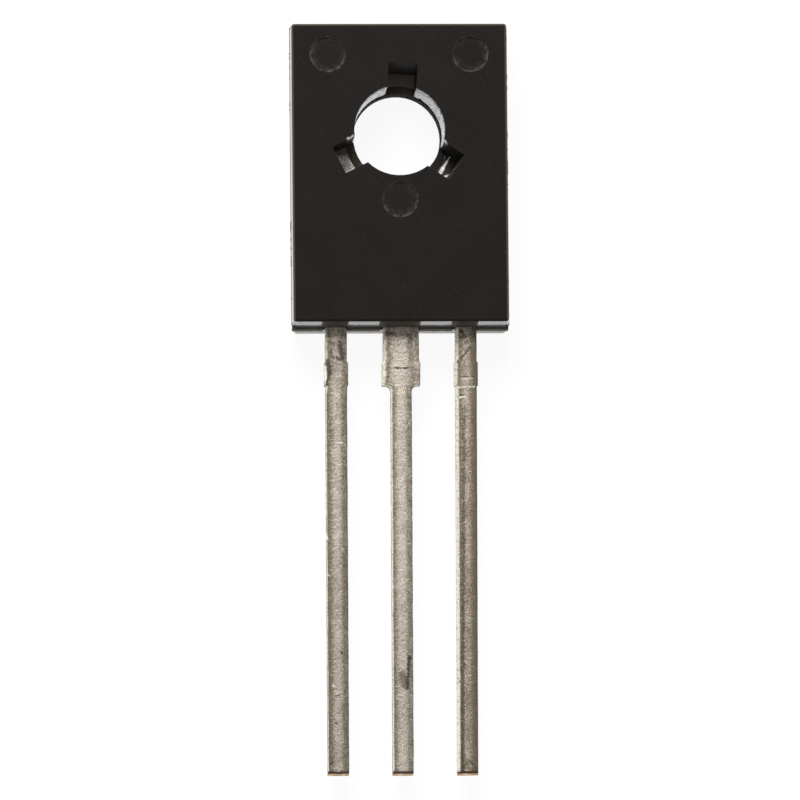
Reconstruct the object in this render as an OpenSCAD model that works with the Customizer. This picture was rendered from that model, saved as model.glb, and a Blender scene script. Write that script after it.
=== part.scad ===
// Power transistor in a flat moulded package with one screw hole and three leads in a row.
//
// It lies on its mounting face. The origin is the centre of the screw hole on that face,
// +Z points out of the marked face and the leads run along -Y.
// A stamped copper frame carries the chip on its plate and runs on as the middle lead.
// Two more stamped leads end in bond posts, and aluminium wires join them to the chip.
// Black epoxy is moulded round all of it and leaves the back of the plate bare.

/* [Moulding] */
// Width of the moulding's rear half
body_w = 7.73; // [7.4:0.01:7.9]
// Height of the moulding's rear half, along the leads
body_h = 10.76; // [10.5:0.01:11.1]
// Thickness from the mounting face to the marked face
body_t = 2.7; // [2.55:0.01:2.9]
// How much smaller the front half is on each side, where the two halves meet
half_step = 0.005; // [0:0.005:0.05]
// Slope of the front half's four sides, in degrees
front_draft = 3.3; // [1:0.1:3.5]
// Radius of the four upright corners
corner_r = 0.16; // [0.15:0.01:0.3]
// Bevel round the marked face
front_bevel = 0.07; // [0.02:0.01:0.07]
// How far the witness line of the mould stands out of the sides
witness_out = 0.015; // [0.005:0.005:0.05]
// Thickness of the witness line
witness_t = 0.1; // [0.06:0.01:0.16]
// How far the trimmed flash stands out between the leads
flash_out = 0.12; // [0.05:0.01:0.15]

/* [Screw hole] */
// Distance from the top of the moulding to the screw hole
hole_from_top = 3.86; // [3.75:0.01:3.95]
// Diameter of the screw hole where it passes the plate
hole_d = 3.1; // [3.0:0.01:3.15]
// Diameter of the screw hole at the marked face
hole_front_d = 3.21; // [3.2:0.01:3.3]
// How much wider the hole is just in front of the plate, on each side
hole_step = 0.02; // [0:0.005:0.025]
// Epoxy wall between the screw hole and the plate
liner_t = 0.27; // [0.2:0.01:0.35]

/* [Clamp pockets] */
// Pockets that the mould's clamps leave round the screw hole
pocket_n = 3; // [2:1:4]
// Width of a clamp pocket
pocket_w = 1.03; // [0.8:0.01:1.1]
// Distance from the hole's axis to the end wall of a pocket at the marked face
pocket_reach = 2.4; // [2.2:0.01:2.5]
// How much nearer the axis that end wall is at the plate
pocket_in = 0.14; // [0:0.01:0.2]
// How far the pockets are turned about the hole, clockwise from the front, in degrees
pocket_turn = 3.5; // [0:0.5:6]

/* [Ejector marks] */
// Diameter of an ejector pin's mark
mark_d = 1.22; // [1.0:0.01:1.4]
// Depth of an ejector pin's mark
mark_depth = 0.045; // [0.02:0.005:0.08]
// Distance of the two upper marks from the middle line
mark_side = 2.52; // [2.4:0.01:2.7]
// Height of the two upper marks above the screw hole
mark_up = 2.71; // [2.5:0.01:2.8]
// Depth of the lower mark below the screw hole
mark_down = 2.47; // [2.4:0.01:2.8]

/* [Leads] */
// Distance from lead to lead
pitch = 2.29; // [2.24:0.01:2.34]
// Thickness of the leads
lead_t = 0.5; // [0.45:0.01:0.58]
// Height of the leads' back above the mounting face
lead_rise = 1.23; // [1.18:0.01:1.3]
// Length of the leads outside the moulding
lead_len = 15.79; // [14:0.01:16.5]
// Width of the outer leads
lead_w = 0.76; // [0.68:0.01:0.8]
// Width of the outer leads where the dam bar was cut away
dam_w = 0.84; // [0.81:0.01:0.9]
// Width of the middle lead past its shoulders
mid_w = 0.74; // [0.68:0.01:0.8]
// Width of the middle lead next to the moulding
mid_root_w = 1.26; // [1.15:0.01:1.3]
// Width of the middle lead's shoulders
mid_dam_w = 1.35; // [1.31:0.01:1.42]
// Distance from the moulding to the dam bar's stubs
dam_from = 1.23; // [1.1:0.01:1.5]
// Length of the dam bar's stubs along a lead
dam_len = 0.83; // [0.7:0.01:1.0]
// Radius under the middle lead's shoulders
shoulder_r = 0.2; // [0.1:0.01:0.26]
// How much further the back edge of a cut tip reaches than its front edge
tip_slant = 0.09; // [0.02:0.01:0.15]
// Gap in the moulding beside and in front of each lead, where it leaves
collar_gap = 0.06; // [0.04:0.01:0.1]
// Depth of that gap
collar_depth = 0.12; // [0.06:0.01:0.2]

/* [Frame plate] */
// Thickness of the plate that carries the chip
plate_t = 0.8; // [0.7:0.01:0.9]
// Width of the plate's bare back face
plate_w = 5.2; // [5.0:0.01:5.5]
// Epoxy between the top of the moulding and the plate's bare face
plate_from_top = 1.01; // [0.85:0.01:1.1]
// Height of the plate's bare face
plate_h = 7.1; // [7.0:0.01:7.3]
// How far the locking rim stands out round the plate
rim_out = 0.2; // [0.1:0.01:0.3]
// Height of the locking rim above the mounting face
rim_rise = 0.4; // [0.3:0.01:0.5]
// Radius of the plate's corners
plate_r = 0.3; // [0.2:0.01:0.5]
// Length of plate lead that stays level before it is bent up
strap_flat = 0.15; // [0.1:0.01:0.2]
// Length over which the strap climbs to the leads
strap_run = 0.6; // [0.5:0.01:0.7]

/* [Bond posts] */
// Width of the bond post on each outer lead
post_w = 1.5; // [1.3:0.01:1.6]
// Height of the bond post
post_h = 1.0; // [0.8:0.01:1.1]
// Clearance between the plate's rim and the bond posts, seen from the front
post_gap = 0.25; // [0.15:0.01:0.35]
// Clearance between a bond post and the middle lead
post_clear = 0.6; // [0.5:0.01:0.7]

/* [Chip and wires] */
// Width and height of the chip
chip_w = 1.5; // [1.2:0.01:1.6]
// Thickness of the chip
chip_t = 0.22; // [0.18:0.01:0.3]
// Thickness of the solder under the chip
solder_t = 0.05; // [0.03:0.01:0.08]
// How far the solder reaches past the chip
solder_out = 0.06; // [0.02:0.01:0.1]
// Diameter of the emitter wire
emitter_wire_d = 0.25; // [0.18:0.01:0.3]
// Diameter of the base wire
base_wire_d = 0.18; // [0.12:0.01:0.25]
// Half of the turn that a wire's arc makes, in degrees
wire_arch = 35; // [32:1:40]
// Length of a wire's flattened foot
foot_len = 0.45; // [0.35:0.01:0.5]

/* [Hidden] */

$fn = 96;
wire_fn = 24;         // facets round a wire
foot_sink = 0.1;      // height of an arc's end over the bonded face, in wire diameters
foot_spread = 1.5;    // width of a foot, in wire diameters
foot_squash = 0.6;    // height of a foot, in wire diameters
emitter_pad = [-0.22, 0.1];   // middle of the emitter's bond pad, in chip widths
base_pad = [0.3, -0.14];      // middle of the base's bond pad, in chip widths
cut = 1;              // how far a cutter passes a face
lap = 0.25;           // how far two parts of one stamping overlap

body_top = hole_from_top;
body_bottom = hole_from_top - body_h;
lead_front = lead_rise + lead_t;           // the parting plane runs through the leads' front
draft_in = (body_t - lead_front) * tan(front_draft);
hole_r = hole_d / 2;
hole_front_r = hole_front_d / 2;
plate_hole_r = hole_r + liner_t;
dam_to = dam_from + dam_len;

plate_top = body_top - plate_from_top;
plate_bottom = plate_top - plate_h;
rim_bottom = plate_bottom - rim_out;

post_top = rim_bottom - post_gap;
post_bottom = post_top - post_h;
post_inner = mid_root_w / 2 + post_clear;  // inner edge of a bond post

chip_y = (plate_bottom - plate_hole_r) / 2;  // midway between the plate's hole and its end
chip_z = plate_t + solder_t;
chip_top = chip_z + chip_t;

// Where each wire is bonded: a point on the chip and one on a post, seen from the front.
emitter_from = [emitter_pad[0] * chip_w, chip_y + emitter_pad[1] * chip_w];
emitter_to = [-(post_inner + post_w / 2), (post_top + post_bottom) / 2];
base_from = [base_pad[0] * chip_w, chip_y + base_pad[1] * chip_w];
base_to = [post_inner + post_w / 2, (post_top + post_bottom) / 2];

// ---- Moulding ----

// A box centred on X and Y that stands on Z = 0.
module cube_mid(w, h, t) {
    translate([-w / 2, -h / 2, 0])
        cube([w, h, t]);
}

// A slab with round corners, w wide, from bottom to top along Y.
module round_slab(w, bottom, top, r, t) {
    h = top - bottom;
    translate([0, (top + bottom) / 2, 0]) {
        cube_mid(w - 2 * r, h, t);
        cube_mid(w, h - 2 * r, t);
        for (x = [-1, 1], y = [-1, 1])
            translate([x * (w / 2 - r), y * (h / 2 - r), 0])
                cylinder(h = t, r = r);
    }
}

// Section of the front half from its middle to one side, with the draft and the bevel.
function front_side(half) = [
    [half, lead_front],
    [half - draft_in, body_t - front_bevel],
    [half - draft_in - front_bevel, body_t]];

// A bar with that section on both sides, length long and centred.
module front_bar(half, length) {
    side = front_side(half);
    rotate([90, 0, 0])
        linear_extrude(height = length, center = true)
            polygon(concat(side, [for (i = [2 : -1 : 0]) [-side[i][0], side[i][1]]]));
}

// The front half: two crossing bars and a cone at each corner.
module front_half() {
    half_w = body_w / 2 - half_step;
    half_h = body_h / 2 - half_step;
    translate([0, (body_top + body_bottom) / 2, 0]) {
        front_bar(half_w, 2 * (half_h - corner_r));
        rotate([0, 0, 90])
            front_bar(half_h, 2 * (half_w - corner_r));
        for (x = [-1, 1], y = [-1, 1])
            translate([x * (half_w - corner_r), y * (half_h - corner_r), 0])
                rotate_extrude()
                    polygon(concat([[0, lead_front]], front_side(corner_r), [[0, body_t]]));
    }
}

module rear_half() {
    round_slab(body_w, body_bottom, body_top, corner_r, lead_front);
}

// The line that the two mould halves leave, and the trimmed flash between the leads.
module witness_line() {
    translate([0, 0, lead_front - witness_t])
        round_slab(body_w + 2 * witness_out, body_bottom - witness_out, body_top + witness_out,
                   corner_r + witness_out, witness_t);
    translate([-body_w / 2 + corner_r, body_bottom - flash_out, lead_rise])
        cube([body_w - 2 * corner_r, corner_r + flash_out, lead_t]);
}

// The gap round a lead of width w, where the mould's insert closed on it.
module collar(x, w) {
    translate([x - w / 2 - collar_gap, body_bottom - cut, lead_rise])
        cube([w + 2 * collar_gap, cut + collar_depth, lead_t + collar_gap]);
}

module screw_hole() {
    translate([0, 0, -cut])
        cylinder(h = body_t + 2 * cut, r = hole_r);
    translate([0, 0, plate_t])
        cylinder(h = body_t - plate_t, r1 = hole_r + hole_step, r2 = hole_front_r);
}

// One pocket along +X, from the hole's axis to its slanted end wall, down to the plate.
module clamp_pocket() {
    depth = body_t - plate_t;
    past = pocket_in * cut / depth;
    translate([0, pocket_w / 2, 0])
        rotate([90, 0, 0])
            linear_extrude(height = pocket_w)
                polygon([[0, plate_t],
                         [pocket_reach - pocket_in, plate_t],
                         [pocket_reach + past, body_t + cut],
                         [0, body_t + cut]]);
}

module ejector_marks() {
    for (p = [[-mark_side, mark_up], [mark_side, mark_up], [0, -mark_down]])
        translate([p[0], p[1], body_t - mark_depth])
            cylinder(h = mark_depth + cut, d = mark_d);
}

module moulding() {
    color([0.13, 0.12, 0.11])
        difference() {
            union() {
                rear_half();
                front_half();
                witness_line();
            }
            screw_hole();
            for (i = [0 : pocket_n - 1])
                rotate([0, 0, 90 - pocket_turn + i * 360 / pocket_n])
                    clamp_pocket();
            ejector_marks();
            collar(-pitch, lead_w);
            collar(0, mid_root_w);
            collar(pitch, lead_w);
            collector_frame();
            emitter_lead();
            base_lead();
            chip_solder();
            chip();
            emitter_wire();
            base_wire();
        }
}

// ---- Leads ----

// The side view of a lead's tip and run, from y_in inside the moulding, swept across all leads.
module lead_side_view(y_in) {
    reach = 2 * pitch + 2 * mid_dam_w;
    tip = body_bottom - lead_len;
    translate([-reach / 2, 0, 0])
        rotate([90, 0, 90])
            linear_extrude(height = reach)
                polygon([[y_in, lead_front], [tip, lead_front],
                         [tip - tip_slant, lead_rise], [y_in, lead_rise]]);
}

// An outer lead seen from the front, with the stubs of the dam bar: widths w, dam_w and w.
module outer_lead_outline(y_in) {
    ease = (dam_w - lead_w) / 2;
    half = [[lead_w / 2, y_in],
            [lead_w / 2, body_bottom - dam_from + ease],
            [dam_w / 2, body_bottom - dam_from - ease],
            [dam_w / 2, body_bottom - dam_to + ease],
            [lead_w / 2, body_bottom - dam_to - ease],
            [lead_w / 2, body_bottom - lead_len - cut]];
    n = len(half);
    polygon(concat(half, [for (i = [n - 1 : -1 : 0]) [-half[i][0], half[i][1]]]));
}

// The middle lead seen from the front: a wide root, shoulders and a narrow run.
module middle_lead_outline(y_in) {
    shoulder = body_bottom - dam_to;
    ease = (mid_dam_w - mid_root_w) / 2;
    translate([-mid_root_w / 2, body_bottom - dam_from])
        square([mid_root_w, y_in - body_bottom + dam_from]);
    polygon([[-mid_root_w / 2, body_bottom - dam_from + ease],
             [-mid_dam_w / 2, body_bottom - dam_from - ease],
             [-mid_dam_w / 2, shoulder],
             [mid_dam_w / 2, shoulder],
             [mid_dam_w / 2, body_bottom - dam_from - ease],
             [mid_root_w / 2, body_bottom - dam_from + ease]]);
    translate([-mid_w / 2, body_bottom - lead_len - cut])
        square([mid_w, lead_len + cut - dam_from]);
    for (side = [-1, 1])
        difference() {
            translate([side * (mid_w + shoulder_r) / 2, shoulder - shoulder_r / 2])
                square([shoulder_r, shoulder_r], center = true);
            translate([side * (mid_w / 2 + shoulder_r), shoulder - shoulder_r])
                circle(r = shoulder_r);
        }
}

// An outer lead with its bond post, with the post reaching towards the middle (+X side).
module outer_lead() {
    y_in = post_bottom + lap;
    intersection() {
        linear_extrude(height = lead_front + cut)
            outer_lead_outline(y_in);
        lead_side_view(y_in);
    }
    translate([pitch - post_inner - post_w, post_bottom, lead_rise])
        cube([post_w, post_h, lead_t]);
}

module emitter_lead() {
    color([0.72, 0.69, 0.64])
        translate([-pitch, 0, 0])
            outer_lead();
}

module base_lead() {
    color([0.72, 0.69, 0.64])
        mirror([1, 0, 0])
            translate([-pitch, 0, 0])
                outer_lead();
}

// ---- Collector frame: plate, bent strap and middle lead in one stamping ----

// The plate: bare face behind, and a wider rim in front that locks it into the epoxy.
module plate() {
    difference() {
        union() {
            round_slab(plate_w, plate_bottom, plate_top, plate_r, plate_t);
            translate([0, 0, rim_rise])
                round_slab(plate_w + 2 * rim_out, rim_bottom, plate_top + rim_out,
                           plate_r + rim_out, plate_t - rim_rise);
        }
        translate([0, 0, -cut])
            cylinder(h = plate_t + 2 * cut, r = plate_hole_r);
    }
}

// The strap's side view: level at the plate, bent up by an even thickness, level at the leads.
module strap_side_view() {
    low = plate_t - lead_t;
    climb = atan2(lead_rise - low, strap_run);
    miter = lead_t / 2 * tan(climb / 2);
    bend_1 = rim_bottom - strap_flat - miter;
    bend_2 = bend_1 - strap_run;
    start = rim_bottom + rim_out / 2;
    polygon([[start, plate_t], [bend_1 + miter, plate_t],
             [bend_2 + miter, lead_front], [body_bottom - lap, lead_front],
             [body_bottom - lap, lead_rise], [bend_2 - miter, lead_rise],
             [bend_1 - miter, low], [start, low]]);
}

module collector_frame() {
    color([0.72, 0.69, 0.64]) {
        plate();
        translate([-mid_root_w / 2, 0, 0])
            rotate([90, 0, 90])
                linear_extrude(height = mid_root_w)
                    strap_side_view();
        intersection() {
            linear_extrude(height = lead_front + cut)
                middle_lead_outline(body_bottom);
            lead_side_view(body_bottom);
        }
    }
}

// ---- Chip, solder and wires ----

module chip_solder() {
    side = chip_w + 2 * solder_out;
    color([0.6, 0.6, 0.62])
        translate([0, chip_y, plate_t])
            cube_mid(side, side, solder_t);
}

module chip() {
    color([0.35, 0.37, 0.42])
        translate([0, chip_y, chip_z])
            cube_mid(chip_w, chip_w, chip_t);
}

// A bonded wire of diameter d from one point to another: two pressed feet and an arc.
module wire(from, to, z_from, z_to, d) {
    way = to - from;
    length = norm(way);
    heel = foot_len / 4;
    chord = [length - 2 * heel, z_to - z_from];
    slope = atan2(chord[1], chord[0]);
    arc_r = norm(chord) / (2 * sin(wire_arch));
    translate([from[0], from[1], 0])
        rotate([0, 0, atan2(way[1], way[0])]) {
            translate([0, 0, z_from])
                wire_foot(d);
            translate([length, 0, z_to])
                wire_foot(d);
            difference() {
                // The arc turns about a point below its chord's middle.
                translate([heel, 0, z_from + foot_sink * d])
                    rotate([90, 0, 0])
                        rotate([0, 0, slope])
                            translate([arc_r * sin(wire_arch), -arc_r * cos(wire_arch)])
                                rotate([0, 0, 90 - wire_arch])
                                    rotate_extrude(angle = 2 * wire_arch)
                                        translate([arc_r, 0])
                                            circle(r = d / 2, $fn = wire_fn);
                translate([0, 0, z_from - cut])
                    cube_mid(foot_len + 3 * d, 2 * d, cut);
                translate([length, 0, z_to - cut])
                    cube_mid(foot_len + 3 * d, 2 * d, cut);
            }
        }
}

module wire_foot(d) {
    cube_mid(foot_len, foot_spread * d, foot_squash * d);
}

module emitter_wire() {
    color([0.8, 0.8, 0.82])
        wire(emitter_from, emitter_to, chip_top, lead_front, emitter_wire_d);
}

module base_wire() {
    color([0.8, 0.8, 0.82])
        wire(base_from, base_to, chip_top, lead_front, base_wire_d);
}

moulding();
collector_frame();
emitter_lead();
base_lead();
chip();
chip_solder();
emitter_wire();
base_wire();
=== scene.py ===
"""Power transistor in a flat moulded package, lying on its mounting face.

The row's frame: origin at the screw hole's centre on the mounting face, +Z out of the
marked face, the leads along -Y. Sizes are in millimetres and become metres in the meshes.
"""
import math

import bmesh
import bpy
import numpy as np
from mathutils import Matrix, Vector


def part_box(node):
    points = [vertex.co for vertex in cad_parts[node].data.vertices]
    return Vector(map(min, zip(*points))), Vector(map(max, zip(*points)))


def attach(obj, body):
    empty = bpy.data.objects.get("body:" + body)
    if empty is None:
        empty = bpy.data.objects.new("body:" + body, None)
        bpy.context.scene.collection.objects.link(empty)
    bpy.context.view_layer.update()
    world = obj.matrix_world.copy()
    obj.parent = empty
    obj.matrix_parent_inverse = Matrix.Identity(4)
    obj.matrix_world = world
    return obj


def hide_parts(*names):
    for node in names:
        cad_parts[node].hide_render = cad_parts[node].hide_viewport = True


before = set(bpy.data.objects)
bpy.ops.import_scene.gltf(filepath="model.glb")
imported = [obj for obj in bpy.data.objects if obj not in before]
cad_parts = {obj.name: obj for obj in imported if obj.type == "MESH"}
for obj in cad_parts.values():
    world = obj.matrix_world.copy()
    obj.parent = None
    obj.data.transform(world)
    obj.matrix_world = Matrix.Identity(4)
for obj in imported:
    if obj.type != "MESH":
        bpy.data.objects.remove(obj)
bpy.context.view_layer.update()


# ==== Epoxy moulding ==============================================================
# One shot of black moulding compound, pressed round the whole frame in a two-part
# mould. Its solid is right as it stands, so the piece is a copy of it with the
# corners eased, as a mould's cavity leaves them.

MM = 0.001                             # a millimetre in metres


def corners(node):
    """Lowest and highest corner of a CAD node, in millimetres."""
    low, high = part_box(node)
    return np.array(low) / MM, np.array(high) / MM


body_low, body_high = corners("moulding")
lead_low, lead_high = corners("emitter_lead")

FRONT = body_high[2]                   # marked face
PARTING = lead_high[2]                 # where the mould halves meet
RIM_EASE = 0.035                       # radius on the rims of the screw hole and its pockets
RIM_DEPTH = 0.06                       # how far below the marked face those rims reach
MARK_EASE = 0.035                      # radius on the marked face's other edges
FOOT_EASE = 0.05                       # radius of the mounting face's outer edge
POCKET_ZONE = 2.6                      # the pockets lie nearer the hole's axis than this
HOLE_ZONE = 1.7                        # and the hole nearer than this
FOOT_SIDE, FOOT_TOP, FOOT_END = 3.3, 3.3, -6.3       # the outer edge lies past these
NEAR = 0.001                           # as good as on a face
SHARP = math.radians(25)               # only edges sharper than this are eased


def eased_copy(cad, groups):
    """Merged copy of a CAD mesh; each group's sharp edges get their own rounding radius."""
    made = bmesh.new()
    made.from_mesh(cad.data)
    bmesh.ops.scale(made, vec=(1 / MM,) * 3, verts=made.verts)
    bmesh.ops.remove_doubles(made, verts=made.verts, dist=NEAR)
    bmesh.ops.dissolve_limit(made, angle_limit=math.radians(0.2),
                             verts=made.verts, edges=made.edges)
    for radius, wanted in groups:
        edges = [e for e in made.edges
                 if len(e.link_faces) == 2 and e.calc_face_angle() > SHARP
                 and all(wanted(v.co) for v in e.verts)]
        bmesh.ops.bevel(made, geom=edges, offset=radius, segments=3, profile=0.5,
                        affect="EDGES", clamp_overlap=True)
    bmesh.ops.triangulate(made, faces=[f for f in made.faces if len(f.verts) > 4])
    bmesh.ops.scale(made, vec=(MM,) * 3, verts=made.verts)
    mesh = bpy.data.meshes.new(cad.name + "_eased")
    made.to_mesh(mesh)
    made.free()
    if "custom_normal" in mesh.attributes:
        mesh.attributes.remove(mesh.attributes["custom_normal"])
    return mesh


def place(name, mesh, *finishes, angle=30):
    """Object for a finished mesh, smooth except over edges sharper than the angle."""
    piece = bpy.data.objects.new(name, mesh)
    bpy.context.scene.collection.objects.link(piece)
    for finish in finishes:
        mesh.materials.append(finish)
    mesh.shade_smooth()
    mesh.set_sharp_from_angle(angle=math.radians(angle))
    return piece


class Value:
    """A number socket: +, - and * on it add the Math nodes."""

    def __init__(self, finish, socket):
        self.finish, self.socket = finish, socket

    def math(self, operation, *others):
        node = self.finish.node("Math", {"operation": operation}, dict(enumerate((self, *others))))
        return Value(self.finish, node.outputs[0])

    def __add__(self, other): return self.math("ADD", other)
    def __mul__(self, other): return self.math("MULTIPLY", other)
    def __sub__(self, other): return self.math("SUBTRACT", other)
    __radd__, __rmul__ = __add__, __mul__
    def __rsub__(self, other): return (self * -1) + other


class Finish:
    """The nodes of a new material, or of a world: each method adds one or a short chain."""

    def __init__(self, name, world=None):
        self.owner = world or bpy.data.materials.new(name)
        self.owner.use_nodes = True
        self.tree = self.owner.node_tree
        self.shader = self.tree.nodes["Background" if world else "Principled BSDF"]
        self.place = self.node("TexCoord").outputs["Object"]

    def node(self, kind, settings=None, sockets=None):
        """Adds a node of this kind, then its settings, then its sockets' values or links."""
        node = self.tree.nodes.new("ShaderNode" + kind)
        for setting, value in (settings or {}).items():
            setattr(node, setting, value)
        for name, value in (sockets or {}).items():
            self.feed(node.inputs[name], value)
        return node

    def feed(self, socket, value):
        """Links a socket or a wrapped one, or sets a number or colour."""
        value = getattr(value, "socket", value)
        if isinstance(value, bpy.types.NodeSocket):
            self.tree.links.new(value, socket)
        elif socket.type == "RGBA" and len(value) == 3:
            socket.default_value = (*value, 1.0)
        else:
            socket.default_value = value

    def scaled(self, size, stretch=(1, 1, 1), shift=(0, 0, 0)):
        """The object's place divided by a feature's size in millimetres."""
        scale = tuple(1 / (MM * size * s) for s in stretch)
        return self.node("Mapping", None, {"Vector": self.place, "Scale": scale,
                                           "Location": shift}).outputs["Vector"]

    def noise(self, size, detail=3.0, roughness=0.55, distortion=0.0, **where):
        """Cloudy noise of a feature size in millimetres, about 0.5."""
        node = self.node("TexNoise", None, {"Vector": self.scaled(size, **where), "Scale": 1.0,
                                            "Detail": detail, "Roughness": roughness,
                                            "Distortion": distortion})
        return Value(self, node.outputs["Fac"])

    def ramp(self, value, low, high, start=0.0, end=1.0):
        """Smooth step from start to end while the value goes from low to high."""
        node = self.node("MapRange", {"interpolation_type": "SMOOTHSTEP", "clamp": True},
                         {"Value": value, "From Min": low, "From Max": high,
                          "To Min": start, "To Max": end})
        return Value(self, node.outputs["Result"])

    def along(self, axis):
        """The object's own coordinate along X, Y or Z, in millimetres."""
        node = self.node("SeparateXYZ", None, {"Vector": self.place})
        return Value(self, node.outputs[axis]) * (1 / MM)

    def facing(self, axis):
        """How much the surface faces along X, Y or Z, from -1 to 1."""
        normal = self.node("NewGeometry").outputs["Normal"]
        node = self.node("SeparateXYZ", None, {"Vector": normal})
        return Value(self, node.outputs[axis])

    def line(self, start, end, width, fray=0.0):
        """1 on the line between two places in X and Y, falling to 0 at the width off it, in mm."""
        x, y = self.along("X") - start[0], self.along("Y") - start[1]
        run = (end[0] - start[0], end[1] - start[1])
        part = (x * run[0] + y * run[1]) * (1 / (run[0] ** 2 + run[1] ** 2))
        part = part.math("MAXIMUM", 0.0).math("MINIMUM", 1.0)
        off_x, off_y = x - part * run[0], y - part * run[1]
        off = (off_x * off_x + off_y * off_y).math("SQRT")
        return self.ramp(off + fray, width * 0.4, width, 1.0, 0.0)

    def blend(self, factor, first, second):
        """Colour between the first, where the factor is 0, and the second, where it is 1.

        A Mix node's colours are its sockets 6 and 7, and its mixed colour is its output 2.
        """
        node = self.node("Mix", {"data_type": "RGBA"}, {0: factor, 6: first, 7: second})
        return node.outputs[2]

    def bump(self, height, depth, below=None):
        """Bump of a depth in millimetres where the height runs from 0 to 1, over another one."""
        node = self.node("Bump", None, {"Height": height, "Distance": depth * MM, "Strength": 1.0})
        if below is not None:
            self.feed(node.inputs["Normal"], below)
        return node.outputs["Normal"]

    def finish(self, **sockets):
        """Feeds the shader's sockets, whose names have _ for a space, and returns the material."""
        for name, value in sockets.items():
            self.feed(self.shader.inputs[name.replace("_", " ")], value)
        return self.owner


PITCH = 2.29                           # between two leads' middles
HOLE_WALL = 1.61                       # just outside the screw hole's wall, from its axis
INSIDE, OUTSIDE = 2.8, 2.9             # the pockets end before these, the outer walls begin past
EDGE = 0.03                            # over which one skin gives way to the next
# Strips of the end wall over the leads, matt and painted paler, a painted reflection of the leads
# in the wall: middle and half width.
STRIP_SHIFT = -0.03
STRIPS = [(-PITCH, 0.44), (0.0, 0.70), (PITCH, 0.44)]
MARK_SIDE, MARK_UP, MARK_DOWN = 2.52, 2.71, -2.47    # places of the ejector pins' marks
MARK_R = 0.60
# Pale spots where the hole's wall meets the clamp pockets: start, end and half width.
PALE_SPOTS = [((-1.66, -0.20), (-1.72, -0.28), 0.05), ((-1.74, -0.28), (-1.83, -0.30), 0.06),
         ((-1.62, -0.36), (-1.70, -0.40), 0.08), ((1.58, -0.40), (1.63, -0.50), 0.08)]
SPECKLE, DUST = (0.032, 0.027, 0.023), (0.12, 0.10, 0.085)
# Paler rim flash of the ejector marks with a painted highlight, and a painted glint for the bevels.
RIM_FLASH_AND_HIGHLIGHT, BEVEL_GLINT = (0.085, 0.079, 0.071), (0.085, 0.060, 0.038)
# A painted reflection of the white floor on the hole's wall and end wall, and pale spots.
GRAZING_REFLECTION, PALE_SPOT = (0.55, 0.54, 0.53), (0.50, 0.49, 0.48)


def mark_rim_highlight(f, x, y, mark_x, mark_y):
    """Rim flash round an ejector mark with a painted highlight, and a painted sheen inside it; both
    fainter on the upper side.
    """
    across, up = x - mark_x, y - mark_y
    off = (across * across + up * up).math("SQRT") - MARK_R
    ring = f.ramp(off.math("ABSOLUTE"), 0.01, 0.07, 1.0, 0.0)
    inside = f.ramp(off, -0.3, 0.0, 0.0, 0.3) * f.ramp(off, 0.0, EDGE, 1.0, 0.0)
    return ring.math("MAXIMUM", inside) * f.ramp(up - across * 0.5, -0.3, 0.5, 1.0, 0.3)


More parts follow.
